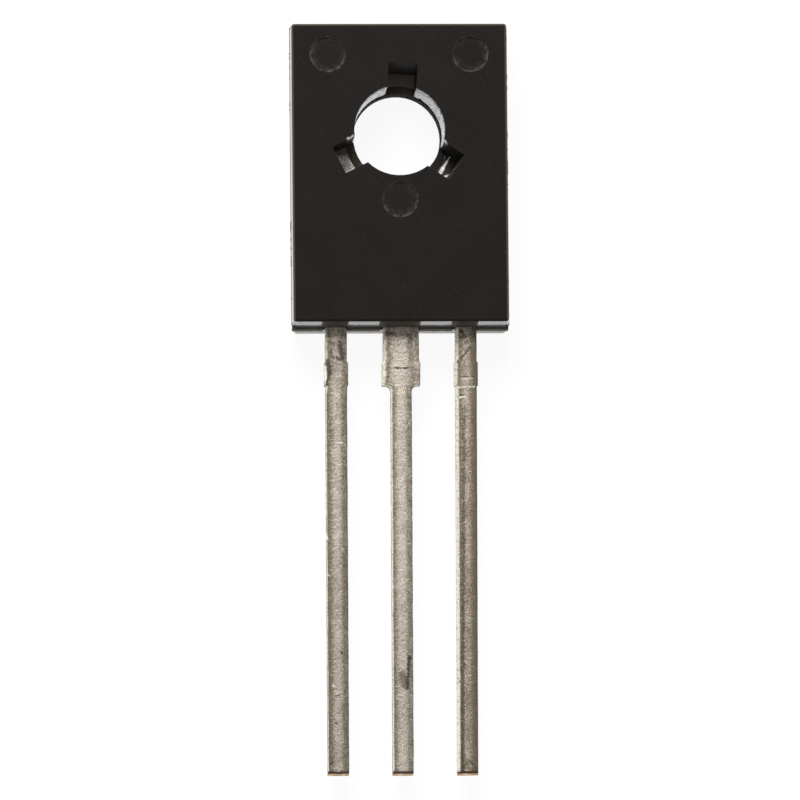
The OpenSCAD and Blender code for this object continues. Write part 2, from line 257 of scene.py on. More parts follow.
def epoxy_finish():
    """Black moulding compound: nearly black and matt on its flats, slick on the mould's walls.

    The slick skin is on walls that stand upright, outside and in the screw hole down to
    the plate. The clamp pockets, the torn rear of the hole and the strips over the leads
    stay matt. Over the colour go painted light and shade: a highlight on the ejector marks'
    paler rims, a glint on the bevels, a reflection on the hole's wall and the end wall and
    of the leads on the strips over them, and light lifting the shaded lining, pocket walls
    and ledges.
    """
    f = Finish("black_epoxy")
    x, y, z = f.along("X"), f.along("Y"), f.along("Z")
    from_axis = (x * x + y * y).math("SQRT")
    level = f.facing("Z").math("ABSOLUTE")
    cloud = f.noise(1.6, detail=4)
    grain = f.noise(0.035, detail=2)
    fine = f.noise(0.012, detail=1)

    # Where on the moulding: each is 1 in its place and 0 elsewhere.
    upright = f.ramp(level, 0.5, 0.85, 1.0, 0.0)
    outside = f.ramp(from_axis, INSIDE, OUTSIDE)
    end_wall = f.ramp(f.facing("Y"), -0.95, -0.85, 1.0, 0.0) * outside
    rear_end = end_wall * f.ramp(z, 1.3, 1.6, 0.4, 0.0)
    under_bevel = f.ramp(f.facing("Y"), -0.5, -0.3, 1.0, 0.0) * f.ramp(f.facing("Z"), 0.3, 0.6)
    # The eased edges, which get a painted glint.
    bevel = f.ramp(level, 0.3, 0.6) * f.ramp(level, 0.8, 0.97, 1.0, 0.0) * (1 - under_bevel)
    torn = z + (f.noise(0.4, detail=4, roughness=0.7) - 0.5) * 0.9
    in_hole = f.ramp(from_axis, HOLE_WALL, HOLE_WALL + EDGE, 1.0, 0.0) * f.ramp(torn, 0.86, 0.96)
    past_hole = f.ramp(from_axis, HOLE_WALL + EDGE, HOLE_WALL + 2 * EDGE)
    in_pocket = past_hole * (1 - outside) * upright
    lining = (1 - past_hole) * upright * (1 - in_hole)
    ledge = (1 - outside) * (1 - upright) * f.ramp(z, 1.2, 1.5, 1.0, 0.0)
    at_lead = sum(f.ramp((x - (middle + STRIP_SHIFT)).math("ABSOLUTE"), half, half + 2 * EDGE,
                         1.0, 0.0) for middle, half in STRIPS)
    at_lead = at_lead * end_wall * f.ramp(z, 1.0, 1.2)
    # Ejector marks' rims: paler flash with a painted highlight, strongest on their lower side, and
    # a painted sheen inside.
    rims = (mark_rim_highlight(f, x.math("ABSOLUTE"), y, MARK_SIDE, MARK_UP)
            + mark_rim_highlight(f, x, y, 0.0, MARK_DOWN)) * f.ramp(z, 2.6, 2.64)

    # Slick skin, and how much of it the pits in the hole's wall have taken.
    spots = f.noise(0.1, detail=3, roughness=0.6) + f.ramp(z, 2.0, 2.6, 0.0, 0.09) * in_hole
    pits = f.ramp(spots, 0.56, 0.62, 1.0, 0.03).math("MAXIMUM", outside * 0.8)
    slick = (upright * (outside + in_hole) * pits * (1 - under_bevel) * (1 - at_lead)
             * (1 - rear_end))

    # Colour: clouded black with filler grains and dust; then paler rim flash and pale spots, and
    # over it painted highlights, glints, reflections and light in shaded places.
    dust = f.ramp(f.noise(0.05, detail=1, roughness=0.4), 0.73, 0.78)
    rim_flash_and_highlight = rims * f.ramp(f.noise(0.16, detail=3) + f.ramp(grain, 0.3, 0.7, -0.1, 0.1), 0.36, 0.62)
    # Painted reflection of the white floor, seen at a grazing angle on the hole's wall and,
    # fainter, on the end wall.
    grazing_reflection = upright * (in_hole + end_wall * (1 - at_lead) * 0.3) * pits
    pale_spots = sum(f.line(*place, (grain - 0.5) * 0.1) for place in PALE_SPOTS).math("MINIMUM", 1.0)
    pale_spots = pale_spots * (1 - outside) * f.ramp(z, 2.0, 2.4)
    skin = f.blend(f.ramp(cloud, 0.35, 0.65), (0.0064, 0.0051, 0.0043), (0.0096, 0.0077, 0.0066))
    for amount, colour in ((f.ramp(grain, 0.5, 0.75, 0.0, 0.5), SPECKLE),
                           (dust * 0.5, DUST),
                           # Painted highlight on the ejector marks' paler rims.
                           (rim_flash_and_highlight, RIM_FLASH_AND_HIGHLIGHT),
                           # Painted glint on the eased edges.
                           (bevel * 0.6, BEVEL_GLINT),
                           # Paler strips over the leads: a painted reflection of the leads in the
                           # end wall.
                           (at_lead * 0.8, (0.055, 0.046, 0.036)),
                           # Painted light lifting the shaded lining of the hole below its torn
                           # edge, in spots.
                           (lining * f.ramp(spots, 0.42, 0.58, 0.9, 0.2), (0.075, 0.066, 0.055)),
                           # Painted light on the pockets' walls, strongest deep down where they are
                           # most shaded.
                           (in_pocket * f.ramp(z, 1.0, 2.0, 0.7, 0.0), (0.060, 0.051, 0.040)),
                           # Painted light lifting the shaded ledges in the pockets, more on the
                           # left.
                           (ledge * f.ramp(x, 0.3, 0.9, 0.9, 0.1), (0.10, 0.088, 0.070)),
                           # Painted reflection on the hole's wall and end wall.
                           (grazing_reflection * 0.8, GRAZING_REFLECTION),
                           (pale_spots * 0.8, PALE_SPOT)):
        skin = f.blend(amount, skin, colour)
    rough = (f.ramp(cloud, 0.3, 0.7, 0.5, 0.62) + (grain - 0.5) * 0.25
             + lining * f.ramp(spots, 0.4, 0.55, 0.1, 0.45))
    return f.finish(Base_Color=skin, Roughness=rough, Coat_Weight=slick, Coat_Roughness=0.1,
                    Coat_IOR=1.75, Specular_IOR_Level=0.12,
                    Normal=f.bump(grain, 0.006, f.bump(fine, 0.0015)))


black_epoxy = epoxy_finish()
WITNESS_OUT = 0.015                    # how far the mould's witness stands out of the solid
WITNESS_KEPT = 0.003                   # what is left of it where it broke off clean
WITNESS_DEEP = 0.05                    # how far the witness reaches behind the parting
FLASH_SOLID = 0.12                     # how far the solid's plain flash stands out
LEFT_WALL, END_WALL = 3.7, 6.6         # only what lies beyond these is moved
LEFT_SHIFT = 0.03                      # how much less the left wall bulges at the parting
REAR_DRAFT, END_DRAFT = 0.068, 0.03    # more draft: the left rear wall's, the end wall's front


def trim_witness(mesh):
    """Pulls the solid's even witness line in, because a ragged fin takes its place.

    The left wall moves in evenly from the marked face to the parting, and its rear half and
    the front of the end wall lean in by a little more draft: a slope times the distance
    from the parting.
    """
    points = np.empty(len(mesh.vertices) * 3)
    mesh.vertices.foreach_get("co", points)
    points = points.reshape(-1, 3)
    limit = (body_high - WITNESS_OUT + WITNESS_KEPT) * MM
    end = (body_low[1] + FLASH_SOLID - WITNESS_KEPT) * MM
    points[:, 0] = np.clip(points[:, 0], -limit[0], limit[0])
    points[:, 1] = np.clip(points[:, 1], end, limit[1])
    ahead = np.clip(points[:, 2] - PARTING * MM, 0, None)
    points[:, 1] += np.where(points[:, 1] < -END_WALL * MM, END_DRAFT * ahead, 0)
    behind = np.clip((PARTING - WITNESS_DEEP) * MM - points[:, 2], 0, None)
    down = np.clip((FRONT * MM - points[:, 2]) / (FRONT - PARTING), None, MM)
    points[:, 0] += np.where(points[:, 0] < -LEFT_WALL * MM,
                             REAR_DRAFT * behind + LEFT_SHIFT * down, 0)
    mesh.vertices.foreach_set("co", points.ravel())


LEVEL, SQUARE = 0.9999, 0.99           # least part of a face's normal along one axis
UPRIGHT = 0.1                          # most that an outer wall leans
WALLS_FROM = 3.0                       # further from the hole's axis than any pocket


def keep_flats(mesh):
    """Flat shading on the level faces and the outer walls, so their eased edges don't bend it."""
    for face in mesh.polygons:
        level = abs(face.normal.z) > LEVEL
        wall = abs(face.normal.z) < UPRIGHT and (face.center / MM).to_2d().length > WALLS_FROM
        if level or (wall and max(abs(face.normal.x), abs(face.normal.y)) > SQUARE):
            face.use_smooth = False


moulding = place(
    "moulding_shell",
    eased_copy(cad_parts["moulding"], [
        (RIM_EASE, lambda p: p.z > FRONT - RIM_DEPTH and math.hypot(p.x, p.y) < POCKET_ZONE),
        (MARK_EASE, lambda p: p.z > FRONT - NEAR and math.hypot(p.x, p.y) > HOLE_ZONE),
        (FOOT_EASE, lambda p: p.z < NEAR and (abs(p.x) > FOOT_SIDE or p.y > FOOT_TOP
                                              or p.y < FOOT_END)),
    ]), black_epoxy)
trim_witness(moulding.data)
keep_flats(moulding.data)
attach(moulding, "root")
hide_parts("moulding")


# ==== Outer leads =================================================================
# Stamped copper strip, tinned by dipping. The dam bar that joined the leads was
# sheared away, which leaves stubs, and the ends were cut off at a slant.

LEAD_BACK = lead_low[2]                # the leads' rear, PARTING is their front
LEAD_EASE = 0.04                       # radius that the tin gives a lead's long edges
TIN_RIPPLE = 0.006                     # how uneven the tin coat is
RIPPLE_LEN = 1.9                       # length of its longest wave
CROWN = 0.018                          # how much lower a lead's front lies at its edges
CROWN_W = 0.38                         # from the middle to where it is that low


def shell(rings, closed=False):
    """Points and faces through rings of points: quads between them, and caps or a closed loop.

    Quad k of ring i joins points k and k + 1 of rings i and i + 1. A closed shell also
    joins its last ring to its first; an open one gets a flat cap on both ends. The faces
    come as one array for the quads and one for each cap.
    """
    count, around = rings.shape[:2]
    i, k = np.meshgrid(np.arange(count if closed else count - 1), np.arange(around), indexing="ij")
    after_i, after_k = (i + 1) % count, (k + 1) % around
    quads = np.stack([i * around + k, i * around + after_k,
                      after_i * around + after_k, after_i * around + k], axis=-1)
    quads = quads.reshape(-1, 4)
    cap = np.arange(around)[None]
    caps = [] if closed else [cap[:, ::-1], cap + (count - 1) * around]
    return rings.reshape(-1, 3), [quads] + caps


def lay_mesh(name, *shells, end_finish=0):
    """Mesh of one or more shells; the last face, a lead's cut end, gets the end's finish."""
    points, faces = [], []
    for shell_points, shell_faces in shells:
        first = sum(len(p) for p in points)
        points.append(shell_points)
        for like_faces in shell_faces:
            faces += (like_faces + first).tolist()
    mesh = bpy.data.meshes.new(name)
    mesh.from_pydata((np.concatenate(points) * MM).tolist(), [], faces)
    mesh.polygons[len(faces) - 1].material_index = end_finish
    return mesh


def section_of_strip(per_corner=5, per_side=17):
    """Round-cornered strip section as signs of its half sizes and offsets of its corners.

    Returns four arrays: the corner's side in X and in Z (-1 or 1, and between them along
    the flats), and the cosine and sine parts of the corner's arc.
    """
    turn = np.linspace(0, math.pi / 2, per_corner)
    side_x, side_z, arc_x, arc_z = [], [], [], []
    for quarter, (sx, sz) in enumerate([(1, 1), (-1, 1), (-1, -1), (1, -1)]):
        a = turn + quarter * math.pi / 2
        side_x.append(np.full(per_corner, sx, float))
        side_z.append(np.full(per_corner, sz, float))
        arc_x.append(np.cos(a))
        arc_z.append(np.sin(a))
        flat = np.linspace(0, 1, per_side + 2)[1:-1]
        if quarter % 2 == 0:           # front or back: X runs from one side to the other
            side_x.append(sx * (1 - 2 * flat))
            side_z.append(np.full(per_side, sz, float))
        else:                          # left or right flank
            side_x.append(np.full(per_side, sx, float))
            side_z.append(sz * (1 - 2 * flat))
        arc_x.append(np.full(per_side, np.cos(a[-1])))
        arc_z.append(np.full(per_side, np.sin(a[-1])))
    return tuple(np.concatenate(part) for part in (side_x, side_z, arc_x, arc_z))


def smooth_noise(rng, at, wave, size):
    """Sum of three sines of random phase, about one wavelength long, along the values."""
    waves = wave * np.array([1.0, 0.47, 0.23])
    phases = rng.uniform(0, 2 * math.pi, 3)
    swing = np.array([0.6, 0.28, 0.12]) * size
    return (swing * np.sin(2 * math.pi * at[..., None] / waves + phases)).sum(-1)


def strip(stations, seed, lean, twist, roll):
    """Rings of a flat strip along -Y, through stations of (y, left x, right x, back z, front z).

    The section is a rectangle with round corners, and its front and back fall off to both
    edges with the square of the distance from the middle, up to the crown. Each point is
    moved out by smooth noise, so the tin coat isn't dead flat. The punch rolled the front's
    left edge down: over the roll's width the front drops in a straight slope by the roll's
    depth. Lean shifts the ring in X, and twist turns it about its own axis, both in even
    steps from the first station's value to the last one's.
    """
    y, left, right, back, front = np.array(stations, float).T
    rng = np.random.default_rng(seed)
    sx, sz, ax, az = section_of_strip()
    part = ((y - y[0]) / (y[-1] - y[0]))[:, None]
    mid_x, mid_z = ((left + right) / 2)[:, None], ((back + front) / 2)[:, None]
    half_x, half_z = ((right - left) / 2)[:, None], ((front - back) / 2)[:, None]
    x = sx * (half_x - LEAD_EASE) + ax * LEAD_EASE
    slantwise = y[:, None] + 5.0 * x + 1.7 * sz        # so the waves differ from side to side
    ripple = smooth_noise(rng, slantwise, RIPPLE_LEN, TIN_RIPPLE)
    x = x + ax * ripple
    z = sz * (half_z - LEAD_EASE) + az * (LEAD_EASE + ripple)
    z = z - az * CROWN * np.minimum((x / CROWN_W) ** 2, 1)
    z = np.minimum(z, half_z - roll[1] * np.clip((roll[0] - half_x - x) / roll[0], 0, 1))
    turn = twist[0] + (twist[1] - twist[0]) * part
    across = x * np.cos(turn) - z * np.sin(turn)
    up = x * np.sin(turn) + z * np.cos(turn)
    shift = lean[0] + (lean[1] - lean[0]) * part
    return np.stack([mid_x + shift + across, np.broadcast_to(y[:, None], x.shape), mid_z + up], -1)


def note_width(mesh, rings, first=0):
    """Writes each point's place over the strip's width, from -1 to 1, to the mesh."""
    x = rings[..., 0]
    middle = (x.max(axis=1, keepdims=True) + x.min(axis=1, keepdims=True)) / 2
    half = np.ptp(x, axis=1, keepdims=True) / 2
    over = np.zeros(len(mesh.vertices), np.float32)
    over[first:first + x.size] = ((x - middle) / half).ravel()
    mesh.attributes.new("over_width", "FLOAT", "POINT").data.foreach_set("value", over)
    return mesh


STATION_STEP = 0.2                     # longest stretch of lead between two stations
STATION_NEAR = 0.02                    # from a corner to the stations on both sides of it


def fill_in(keys):
    """More stations between the keys, at most a step apart in y, worked out in straight lines.

    Two more stand close to each key, so that the shading of a corner stays at the corner.
    """
    keys = np.array(keys, float)
    y = np.concatenate([keys[:, 0], keys[:, 0] - STATION_NEAR, keys[:, 0] + STATION_NEAR,
                        np.arange(keys[-1, 0], keys[0, 0], STATION_STEP)])
    y = np.clip(y, keys[-1, 0], keys[0, 0])
    y = np.unique(y.round(4))[::-1]
    rising = keys[np.argsort(keys[:, 0])].T
    return np.column_stack([y] + [np.interp(y, rising[0], measure) for measure in rising[1:]])


LEAD_W, LEAD_TIP_W = 0.757, 0.745      # width of an outer lead, and at its tip
LEAD_LEN = 15.79                       # from the moulding to the front of the cut tip
DAM_W = 0.84                           # width over the dam bar's stubs
DAM_FROM, DAM_TO = 1.23, 2.06          # from the moulding to the stubs' two ends
DAM_EASE = 0.04                        # half of the slope at a stub's upper end
DAM_STEP = 0.015                       # height of the step at its lower end
TIP_SLANT = 0.09                       # how much longer a lead is at its rear
TIP_REACH = 0.4                        # stretch of lead over which the cut's slant fades
NOTCH = 0.003                          # height of a square step between two stations
POST_H = 1.0                           # height of a bond post
BODY_BOTTOM = lead_low[1] + LEAD_LEN + TIP_SLANT
POST_BOTTOM = lead_high[1] - POST_H


def slant_tip(rings):
    """Slants the cut tip: points move along -Y in proportion to their depth.

    At the rear they move by the slant, which fades out over the reach up the lead.
    """
    y, z = rings[..., 1], rings[..., 2]
    reach = np.clip((BODY_BOTTOM - LEAD_LEN + TIP_REACH - y) / TIP_REACH, 0, 1)
    behind = np.clip((PARTING - z) / (PARTING - LEAD_BACK), 0, 1)
    rings[..., 1] = y - TIP_SLANT * reach * behind
    return rings


def outer_lead(name, side, seed, lean, twist, roll):
    """One outer lead with its bond post, on the -X side (side -1) or the +X side (1).

    Its stations are the post, the strip down to the stubs, the stubs and the tip.
    """
    def across(y, half):
        return (y, side * PITCH - half, side * PITCH + half, LEAD_BACK, PARTING)
    post = sorted((side * -lead_low[0], side * -lead_high[0]))
    keys = [(lead_high[1], *post, LEAD_BACK, PARTING),
            (POST_BOTTOM, *post, LEAD_BACK, PARTING),
            across(POST_BOTTOM - NOTCH, LEAD_W / 2),
            across(BODY_BOTTOM - DAM_FROM + DAM_EASE, LEAD_W / 2),
            across(BODY_BOTTOM - DAM_FROM - DAM_EASE, DAM_W / 2),
            across(BODY_BOTTOM - DAM_TO, DAM_W / 2),
            across(BODY_BOTTOM - DAM_TO - DAM_STEP, LEAD_W / 2),
            across(BODY_BOTTOM - LEAD_LEN, LEAD_TIP_W / 2)]
    rings = slant_tip(strip(fill_in(keys), seed, lean, twist, roll))
    mesh = note_width(lay_mesh(name, shell(rings), end_finish=1), rings)
    return place(name, mesh, tinned, cut_end, angle=35)


# Dark handling marks on the leads' fronts, and bright scratches: start, end, half width, and
# how strongly they cover the tin.
STAINS = [
    # left lead
    ((-2.44, -7.4), (-2.36, -7.5), 0.05, 0.5), ((-2.15, -7.45), (-2.06, -7.95), 0.12, 0.75),
    ((-2.3, -7.6), (-2.35, -8.3), 0.3, 0.35), ((-2.45, -7.75), (-2.35, -8.0), 0.07, 0.6),
    ((-2.25, -7.98), (-2.02, -8.05), 0.07, 0.6), ((-2.6, -8.1), (-2.49, -8.5), 0.12, 0.85),
    ((-2.49, -8.5), (-2.62, -8.95), 0.08, 0.8), ((-2.45, -10.6), (-2.43, -10.8), 0.12, 0.35),
    ((-2.17, -18.46), (-2.14, -18.47), 0.05, 0.9), ((-2.55, -20.08), (-2.09, -19.89), 0.02, 0.6),
    ((-2.37, -20.95), (-2.35, -20.96), 0.035, 0.8), ((-2.61, -22.44), (-2.45, -22.28), 0.03, 0.6),
    # middle lead
    ((-0.45, -7.1), (-0.15, -7.15), 0.1, 0.6), ((0.3, -7.2), (0.44, -7.35), 0.08, 0.6),
    ((-0.188, -8.345), (0.448, -8.345), 0.035, 0.8), ((-0.43, -8.66), (-0.41, -8.67), 0.05, 0.8),
    ((0.04, -17.13), (0.05, -17.14), 0.035, 0.8), ((0.22, -18.6), (0.15, -19.7), 0.08, 0.75),
    ((-0.02, -19.2), (0.06, -19.6), 0.2, 0.5),
    # right lead
    ((2.2, -7.0), (2.25, -7.3), 0.08, 0.7), ((2.48, -7.6), (2.05, -8.12), 0.045, 0.85),
    ((2.143, -8.671), (2.603, -8.671), 0.035, 0.7), ((2.13, -9.3), (2.22, -9.31), 0.05, 0.8),
    ((2.24, -9.8), (2.07, -22.7), 0.08, 0.5), ((2.12, -10.41), (2.13, -10.42), 0.04, 0.8),
    ((1.92, -19.55), (2.08, -19.44), 0.02, 0.5), ((2.3, -22.28), (2.55, -22.57), 0.03, 0.6),
    ((2.09, -22.53), (2.3, -22.28), 0.03, 0.6),
]
SCRATCHES = [
    # left lead
    ((-2.65, -8.32), (-2.65, -8.75), 0.07, 0.6), ((-2.25, -11.02), (-2.05, -11.0), 0.03, 0.8),
    ((-2.68, -13.35), (-2.67, -13.5), 0.04, 0.8), ((-2.68, -14.25), (-2.64, -14.38), 0.045, 0.9),
    ((-2.66, -15.66), (-2.56, -15.73), 0.03, 0.6), ((-2.48, -19.63), (-2.44, -19.65), 0.05, 1.0),
    # middle lead
    ((-0.38, -13.2), (-0.34, -13.4), 0.045, 0.7), ((0.16, -14.6), (0.32, -14.58), 0.03, 0.6),
    # right lead
    ((2.15, -8.715), (2.55, -8.71), 0.02, 0.4), ((2.069, -9.027), (2.635, -9.022), 0.028, 0.6),
    ((2.1, -9.41), (2.26, -9.36), 0.045, 0.65),
]
TIP_BURR = -22.67                      # dark burr along the cut, on a lead's front
# Lines of bare tin in the right pocket, painted near white as glints: start, end and half width.
BARE_TIN_GLINTS = [((1.47, -1.36), (1.62, -1.10), 0.085), ((1.55, -1.2), (1.78, -0.84), 0.05),
           ((1.6, -1.1), (1.87, -0.70), 0.025), ((1.70, -1.40), (1.80, -1.36), 0.045)]
DULL_TIN, BRIGHT_TIN = (0.21, 0.173, 0.122), (0.78, 0.70, 0.60)
ROLLED_EDGE_HIGHLIGHT, BARE_TIN_LIT = (1.0, 0.93, 0.79), (0.97, 0.92, 0.84)
SPECK, GRIME, BURR = (0.12, 0.095, 0.07), (0.07, 0.055, 0.045), (0.06, 0.034, 0.021)
SCRATCHED, GLINT_WHITE = (0.95, 0.92, 0.86), (1.0, 0.98, 0.95)


def marks(f, places, fray):
    """Sum of frayed lines, each as strong as its place says."""
    return sum(f.line(start, end, wide, fray) * much for start, end, wide, much in places)


def tin_finish():
    """Dull tin on copper: fine grey and beige grain, with painted light and shade in its tone.

    A value near 1 in the middle falls off to both sides, a painted shade towards the edges;
    grain and blotches are added to it, and the sum picks a tone between the dull and the
    bright one. The rolled left edges get a painted highlight. In the clamp pockets a dark,
    dull layer, a painted shade, covers most of the plate: brownish in the left and top
    pockets and black in the right one.
    """
    f = Finish("dull_tin")
    width = Value(f, f.node("Attribute", {"attribute_name": "over_width"}).outputs["Fac"])
    x, y, z = f.along("X"), f.along("Y"), f.along("Z")
    blotch = f.noise(0.5, detail=4, roughness=0.6)
    grain = f.noise(0.06, detail=3, roughness=0.65, stretch=(1, 1.3, 1))
    mottle = f.noise(0.09, detail=3, roughness=0.7)
    speck = f.ramp(f.noise(0.05, detail=2), 0.63, 0.7)
    fray = (grain - 0.5) * 0.12 + (f.noise(0.15, detail=3) - 0.5) * 0.14

    # Places on the leads: their middle, lighter as painted light, their rolled left edge with a
    # painted highlight, the outer two, the cut tip.
    # Painted shade: the tone falls off from the lighter middle towards both edges.
    middle = f.ramp(width.math("ABSOLUTE") + (blotch - 0.5) * 0.5, 0.1, 0.95, 1.0, 0.0)
    # Painted highlight: the rolled left edges that face the lamp, and a strip at the left of each
    # root.
    at_root = (f.ramp(width + fray * 2, -0.95, -0.7, 0.8, 0.0) * f.ramp(y, -9.3, -9.1)
               * f.ramp(z, 1.6, 1.7))
    rolled = f.ramp(f.facing("X"), -0.45, -0.15, 1.0, 0.0) * f.ramp(f.facing("Z"), 0.25, 0.45)
    rolled = rolled.math("MAXIMUM", at_root)
    outer = f.ramp(x.math("ABSOLUTE"), 1.5, 1.6) * f.ramp(y, -6.6, -6.4, 1.0, 0.0)
    at_tip = f.ramp(y + fray * 0.35, TIP_BURR, TIP_BURR + 0.04, 0.6, 0.0)

    # Grime, spotty near the roots and sooty at them, and scratches.
    sooty = f.ramp(mottle, 0.53, 0.6, 0.0, 0.65) * f.ramp(y + (blotch - 0.5) * 0.8, -8.3, -7.3)
    spotty = f.ramp(mottle, 0.38, 0.52, 0.4, 1.25).math("MAXIMUM", f.ramp(y, -10.0, -9.7, 1.0, 0.0))
    grime = (marks(f, STAINS, fray) * spotty).math("MAXIMUM", sooty).math("MINIMUM", 0.85)
    scratched = marks(f, SCRATCHES, fray).math("MINIMUM", 1.0)

    # Places on the plate's front, which the clamp pockets lay open.
    front = f.ramp(y, -4.4, -4.2) * f.ramp(z, 0.6, 0.7)
    # Painted shade: a dark, dull layer over the plate where the pocket walls shade it, all but the
    # lower part of the left pocket; brownish in the left and top pockets, black in the right one.
    shaded_plate = f.ramp(y + (blotch - 0.5) * 0.3, -0.8, -0.55).math(
        "MAXIMUM", f.ramp(x + (blotch - 0.5) * 0.3, 0.9, 1.1)) * front
    # Bare tin with a painted glint, kept clear of the painted shade.
    bare_tin_glints = (sum(f.line(*place, fray * 0.3) for place in BARE_TIN_GLINTS) * front).math("MINIMUM", 1.0)
    shade_film = shaded_plate * (1 - bare_tin_glints)
    shade_colour = f.blend(f.ramp(x, 0.6, 0.9), (0.26, 0.22, 0.17), (0.035, 0.028, 0.022))

    tone = f.ramp(middle * 0.3 + grain * 0.8 + (blotch - 0.5) * 0.4
                  # Painted light: lighter near the body, lifting the shade over the leads' roots.
                  + f.ramp(y, -7.5, -7.0, 0.0, 0.12)
                  + f.ramp(width, 0.5, 0.9, 0.0, 0.13) * f.ramp(x, 1.5, 1.6, 1.0, 0.3)
                  - outer * f.ramp(x, 0.0, 0.1, 0.05, 0.15), 0.36, 0.81)
    tin = f.blend(tone, DULL_TIN, BRIGHT_TIN)
    for amount, colour in ((rolled * f.ramp(mottle, 0.34, 0.5, 0.35, 1.0), ROLLED_EDGE_HIGHLIGHT),
                           (speck * 0.5, SPECK),
                           (grime, GRIME),
                           (at_tip, BURR),
                           (scratched, SCRATCHED),
                           # Bare tin, painted paler to lift it out of the pocket's shade.
                           ((front - shade_film) * f.ramp(grain, 0.4, 0.58, 0.1, 1.0), BARE_TIN_LIT),
                           # Painted shade of the pockets over the plate.
                           (shade_film, shade_colour),
                           (bare_tin_glints, GLINT_WHITE)):
        tin = f.blend(amount, tin, colour)
    return f.finish(Base_Color=tin, Metallic=(1 - shade_film) * (1 - rolled * 0.5),
                    Roughness=f.ramp(grain, 0.3, 0.7, 0.44, 0.32) + speck * 0.15 + shade_film * 0.25,
                    Normal=f.bump(grain, 0.008, f.bump(blotch, 0.012)))


def copper_finish():
    """Bare copper of the sheared ends: fine lines, a dark burr along the front, paler patches."""
    f = Finish("cut_copper")
    lines = f.noise(0.03, detail=2, stretch=(1, 1, 8))
    patch = f.noise(0.25, detail=2)
    burr = f.ramp(f.along("Z") + (lines - 0.5) * 0.08, PARTING - 0.29, PARTING - 0.15)
    tone = f.blend(f.ramp(lines, 0.3, 0.7), (0.32, 0.17, 0.075), (0.53, 0.32, 0.155))
    tone = f.blend(f.ramp(patch, 0.48, 0.62), tone, (0.64, 0.50, 0.28))
    rough = f.ramp(lines, 0.3, 0.7, 0.35, 0.5) + burr * 0.45
    return f.finish(Base_Color=f.blend(burr, tone, (0.055, 0.032, 0.02)), Metallic=1.0,
                    Roughness=rough, Normal=f.bump(lines, 0.004))


tinned = tin_finish()
cut_end = copper_finish()

emitter = outer_lead("emitter_lead_strip", -1, seed=11, lean=(0.034, -0.008), twist=(0.0, 0.0),
                     roll=(0.028, 0.02))
base = outer_lead("base_lead_strip", 1, seed=12, lean=(0.054, -0.028), twist=(0.02, 0.06),
                  roll=(0.125, 0.09))
for lead, node in ((emitter, "emitter_lead"), (base, "base_lead")):
    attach(lead, "root")
    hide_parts(node)


# ==== Collector frame =============================================================
# The same stamping's thick plate, which carries the chip and lies bare at the back,
# the strap bent up from it, and the middle lead with its wide root and shoulders.

PLATE_W, PLATE_H = 5.2, 7.1            # bare back face
PLATE_R = 0.3                          # radius of its corners
PLATE_TOP = 2.85                       # its edge beyond the hole
PLATE_FRONT = 0.8                      # thickness of the plate
PLATE_HOLE_R = 1.82
PLATE_EASE = 0.03                      # radius that the tin gives the plate's edges
RIM_OUT, RIM_RISE = 0.2, 0.4           # the rim that anchors it: how far out, how far up
AROUND = 240                           # points round the plate

MID_ROOT_W, MID_DAM_W = 1.264, 1.35    # width of the middle lead's root and of its stubs
MID_W, MID_TIP_W = 0.74, 0.735         # past the shoulders, and at the tip
SHOULDER_R, SHOULDER_N = 0.2, 6        # quarter circle under a shoulder, and its stations
STRAP = [(-4.35, 0.3, 0.8), (-4.6, 0.3, 0.8), (-4.872, 0.3, 1.2216),   # y, back z, front z
         (-5.2, 0.8084, PARTING), (-5.472, LEAD_BACK, PARTING)]


def round_outline(width, bottom, top, radius, count):
    """Points on a round-cornered rectangle, evenly by arc length, from its right side on.

    Each side is a straight run and each corner a quarter circle; the distance along the
    outline picks the run or corner, and what is left of it the place there.
    """
    run_x, run_y = width - 2 * radius, top - bottom - 2 * radius
    bend = radius * math.pi / 2
    lengths = np.array([run_y, bend, run_x, bend, run_y, bend, run_x, bend])
    starts = np.concatenate([[0], np.cumsum(lengths)])
    s = np.arange(count) / count * starts[-1]
    part = np.searchsorted(starts, s, side="right") - 1
    t = (s - starts[part]) / lengths[part]
    half_x, half_y = width / 2, (top - bottom) / 2
    centre_x = np.array([1, 1, 1, -1, -1, -1, -1, 1])[part] * (half_x - radius)
    centre_y = np.array([-1, 1, 1, 1, 1, -1, -1, -1])[part] * (half_y - radius)
    turn = np.array([0, 0, 1, 1, 2, 2, 3, 3])[part] * math.pi / 2
    bending = part % 2 == 1
    angle = turn + np.where(bending, t * math.pi / 2, 0)
    forward = np.where(bending, 0, t * lengths[part])
    x = centre_x + radius * np.cos(angle) - forward * np.sin(turn)
    y = centre_y + radius * np.sin(angle) + forward * np.cos(turn)
    return np.stack([x, y + (top + bottom) / 2], -1)


